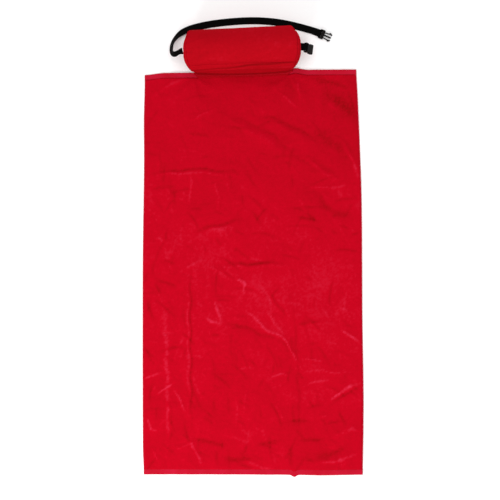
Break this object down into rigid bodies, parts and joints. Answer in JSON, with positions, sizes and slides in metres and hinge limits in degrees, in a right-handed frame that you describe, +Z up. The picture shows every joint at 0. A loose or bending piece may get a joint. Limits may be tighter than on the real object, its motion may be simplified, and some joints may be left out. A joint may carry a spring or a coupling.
{
  "type": "beach towel with pillow",
  "caption": "Rectangular velour towel with a round bolster pillow sewn to its head edge and a webbing carry strap with a side-release buckle.",
  "frame": {"origin": "middle of the towel's underside, on the ground", "axes": "+Z up, +X across the towel, +Y along the towel towards the pillow"},
  "size_m": [0.75, 1.5994, 0.152],
  "materials": {
    "velour": "soft cut pile",
    "hem_tape": "flat woven",
    "sewing_thread": "spun thread",
    "filling": "loose fibre",
    "webbing": "ribbed weave",
    "black_thread": "spun thread",
    "buckle_plastic": "moulded satin"
  },
  "bodies": {
    "towel": {"towel_cloth": "velour", "top_hem": "hem_tape", "bottom_hem": "hem_tape", "left_hem": "hem_tape", "right_hem": "hem_tape", "top_hem_stitching": "sewing_thread", "bottom_hem_stitching": "sewing_thread", "left_hem_stitching": "sewing_thread", "right_hem_stitching": "sewing_thread", "pillow_flange": "velour", "flange_stitching": "sewing_thread"},
    "pillow": {"pillow_cover": "velour", "left_end_panel": "velour", "right_end_panel": "velour", "left_end_seam": "velour", "right_end_seam": "velour", "pillow_filling": "filling", "pillow_skirt": "velour", "inner_strap": "webbing", "long_strap": "webbing", "strap_end_fold": "webbing", "short_strap_loop": "webbing", "left_strap_tack": "black_thread", "right_strap_tack": "black_thread", "fold_stitching": "black_thread", "loop_stitching": "black_thread"},
    "plug": {"plug_body": "buckle_plastic"},
    "plug_arm_left": {"plug_arm_left": "buckle_plastic"},
    "plug_arm_right": {"plug_arm_right": "buckle_plastic"},
    "socket": {"buckle_socket": "buckle_plastic"}
  },
  "joints": [
    {"name": "pillow_fold", "type": "hinge", "parent": "towel", "child": "pillow", "pos_m": [0, 0.695, 0.00385], "axis": [1, 0, 0], "range_deg": [0, 78]},
    {"name": "plug_swivel", "type": "hinge", "parent": "pillow", "child": "plug", "pos_m": [0.2445, 0.833, 0.0036], "axis": [-0.3987, -0.9171, 0], "range_deg": [0, 80]},
    {"name": "left_arm_squeeze", "type": "hinge", "parent": "plug", "child": "plug_arm_left", "pos_m": [0.26388, 0.83493, 0.0036], "axis": [0, 0, -1], "range_deg": [0, 8], "stiffness_Nm_per_rad": 0.3},
    {"name": "right_arm_squeeze", "type": "hinge", "parent": "plug", "child": "plug_arm_right", "pos_m": [0.2563, 0.81751, 0.0036], "axis": [0, 0, 1], "range_deg": [0, 8], "stiffness_Nm_per_rad": 0.3},
    {"name": "socket_swivel", "type": "hinge", "parent": "pillow", "child": "socket", "pos_m": [0.1899, 0.76857, 0.07218], "axis": [0.1253, 0.9921, 0], "range_deg": [-90, 25]}
  ]
}
